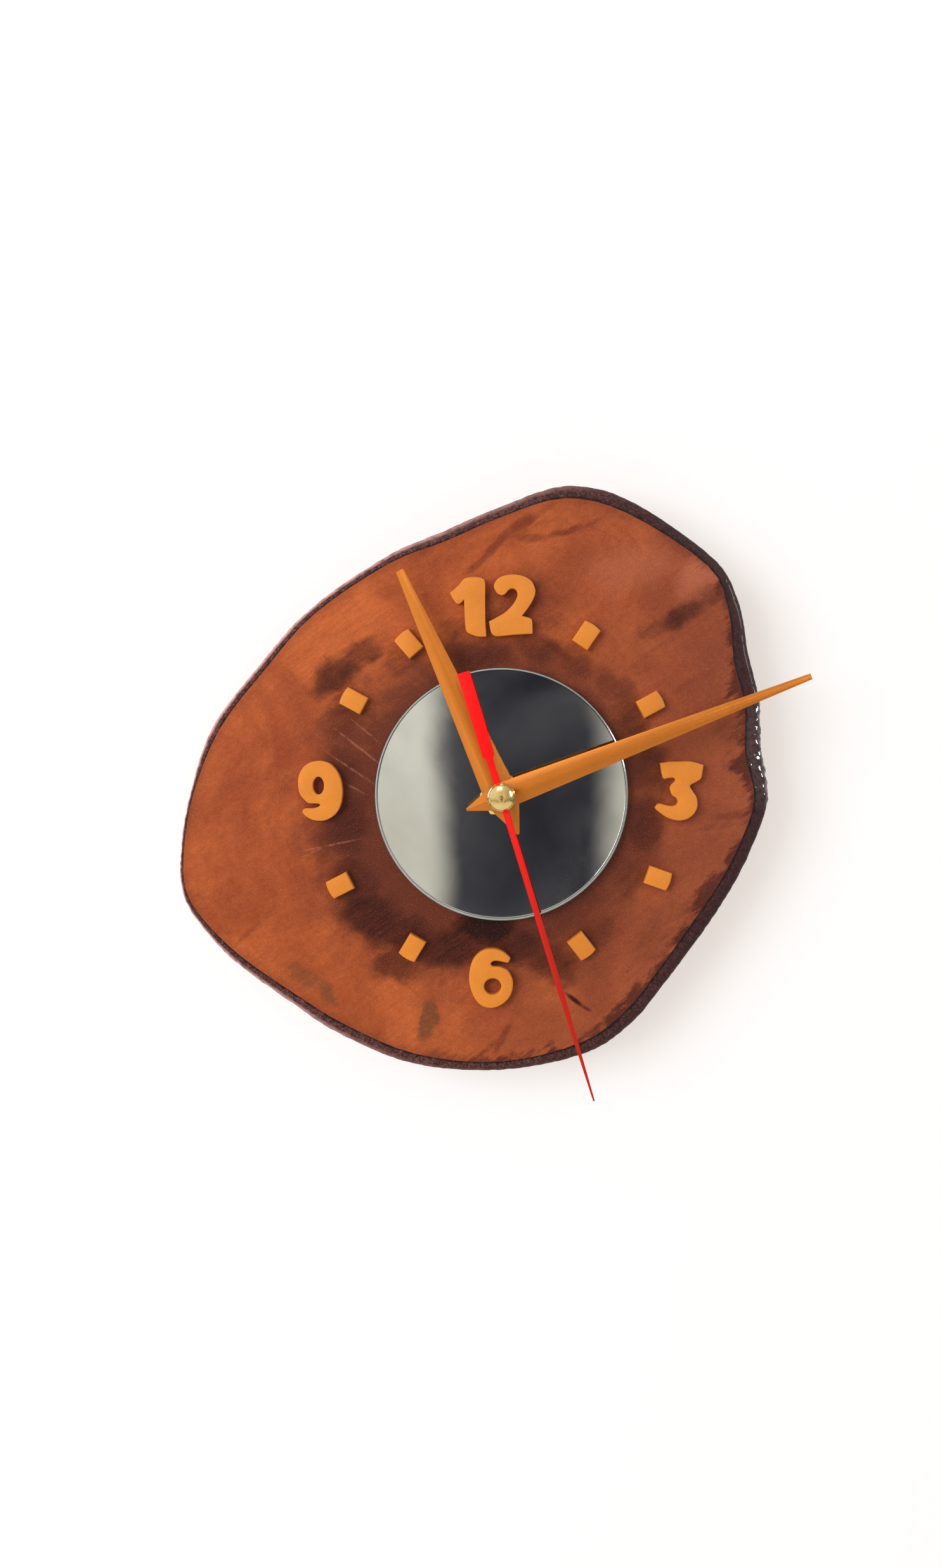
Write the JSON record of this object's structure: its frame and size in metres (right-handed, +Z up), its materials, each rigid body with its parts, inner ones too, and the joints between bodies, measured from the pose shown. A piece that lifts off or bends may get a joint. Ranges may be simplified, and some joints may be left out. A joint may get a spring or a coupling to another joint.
{
  "type": "wooden wall clock",
  "caption": "Wall clock cut from a slice of a log with its bark on, with a round mirror in the middle, raised numerals and markers, metal hands and a quartz movement in a pocket behind.",
  "frame": {"origin": "middle of the hole in the hanger plate that the nail goes through", "axes": "+Z up, +Y into the wall, the dial faces -Y, +X to the right of someone who reads the dial"},
  "size_m": [0.1893, 0.0388, 0.1829],
  "materials": {
    "varnished_wood": "satin varnish over smooth end grain",
    "bark": "rough dark bark under varnish",
    "mirror_glass": "polished",
    "adhesive": "foam pad",
    "numeral_wood": "smooth varnish",
    "black_rubber": "matt",
    "bright_brass": "polished",
    "case_plastic": "fine moulded texture",
    "battery_jacket": "semi-gloss",
    "spring_steel": "nickel plated",
    "board_laminate": "resist",
    "chip_resin": "matt",
    "plated_steel": "bright",
    "white_plastic": "moulded",
    "copper_wire": "enamelled wire",
    "soft_iron": "rolled sheet",
    "magnet_black": "sintered",
    "knob_plastic": "moulded",
    "gold_hand": "gold anodised",
    "red_enamel": "gloss"
  },
  "bodies": {
    "clock_body": {"wood_slice": "varnished_wood", "bark_ring": "bark", "mirror": "mirror_glass", "mirror_adhesive": "adhesive", "numeral_12": "numeral_wood", "numeral_3": "numeral_wood", "numeral_6": "numeral_wood", "numeral_9": "numeral_wood", "hour_markers": "numeral_wood", "rubber_washer": "black_rubber", "brass_washer": "bright_brass", "fixing_nut": "bright_brass", "threaded_bushing": "bright_brass", "movement_case": "case_plastic", "back_cover": "case_plastic", "battery": "battery_jacket", "positive_contact": "spring_steel", "negative_contact": "spring_steel", "circuit_board": "board_laminate", "driver_chip": "chip_resin", "quartz_crystal": "plated_steel", "coil_bobbin": "white_plastic", "coil_winding": "copper_wire", "coil_core": "soft_iron", "stator_plates": "soft_iron", "stator_screws": "plated_steel"},
    "seconds": {"seconds_wheel": "white_plastic", "second_arbor": "plated_steel", "second_hand": "red_enamel", "second_hand_socket": "plated_steel", "hub_cap": "bright_brass"},
    "rotor": {"rotor_magnet": "magnet_black", "rotor_pinion": "white_plastic"},
    "intermediate": {"intermediate_wheel": "white_plastic"},
    "third": {"third_wheel": "white_plastic"},
    "centre": {"centre_wheel": "white_plastic"},
    "minutes": {"cannon_pinion": "white_plastic", "minute_hand": "gold_hand", "minute_hand_nut": "bright_brass"},
    "motion_work": {"minute_wheel": "white_plastic"},
    "hours": {"hour_wheel": "white_plastic", "hour_hand": "gold_hand"},
    "knob": {"setting_knob": "knob_plastic"}
  },
  "joints": [
    {"name": "second_hand_turn", "type": "hinge", "parent": "clock_body", "child": "seconds", "pos_m": [0, -0.0046, -0.0336], "axis": [0, 1, 0], "continuous": true},
    {"name": "rotor_turn", "type": "hinge", "parent": "clock_body", "child": "rotor", "pos_m": [-0.00606, -0.0046, -0.0211], "axis": [0, 1, 0], "continuous": true},
    {"name": "intermediate_turn", "type": "hinge", "parent": "clock_body", "child": "intermediate", "pos_m": [0, -0.0046, -0.0246], "axis": [0, 1, 0], "continuous": true},
    {"name": "third_turn", "type": "hinge", "parent": "clock_body", "child": "third", "pos_m": [-0.0085, -0.0046, -0.0336], "axis": [0, 1, 0], "continuous": true},
    {"name": "centre_turn", "type": "hinge", "parent": "clock_body", "child": "centre", "pos_m": [0, -0.0073, -0.0336], "axis": [0, 1, 0], "continuous": true},
    {"name": "minute_hand_turn", "type": "hinge", "parent": "clock_body", "child": "minutes", "pos_m": [0, -0.0088, -0.0336], "axis": [0, 1, 0], "continuous": true},
    {"name": "minute_wheel_turn", "type": "hinge", "parent": "clock_body", "child": "motion_work", "pos_m": [0.009, -0.0088, -0.0336], "axis": [0, 1, 0], "continuous": true},
    {"name": "hour_hand_turn", "type": "hinge", "parent": "clock_body", "child": "hours", "pos_m": [0, -0.0106, -0.0336], "axis": [0, 1, 0], "continuous": true},
    {"name": "setting_knob_turn", "type": "hinge", "parent": "clock_body", "child": "knob", "pos_m": [0.01536, -0.0046, -0.02724], "axis": [0, 1, 0], "continuous": true}
  ],
  "couplings": [
    {"joint": "rotor_turn", "follows": "second_hand_turn", "ratio": 30},
    {"joint": "intermediate_turn", "follows": "second_hand_turn", "ratio": -5},
    {"joint": "third_turn", "follows": "second_hand_turn", "ratio": -0.13333},
    {"joint": "centre_turn", "follows": "second_hand_turn", "ratio": 0.016667},
    {"joint": "minute_wheel_turn", "follows": "minute_hand_turn", "ratio": -0.33333},
    {"joint": "hour_hand_turn", "follows": "minute_hand_turn", "ratio": 0.083333},
    {"joint": "setting_knob_turn", "follows": "minute_hand_turn", "ratio": 1}
  ]
}
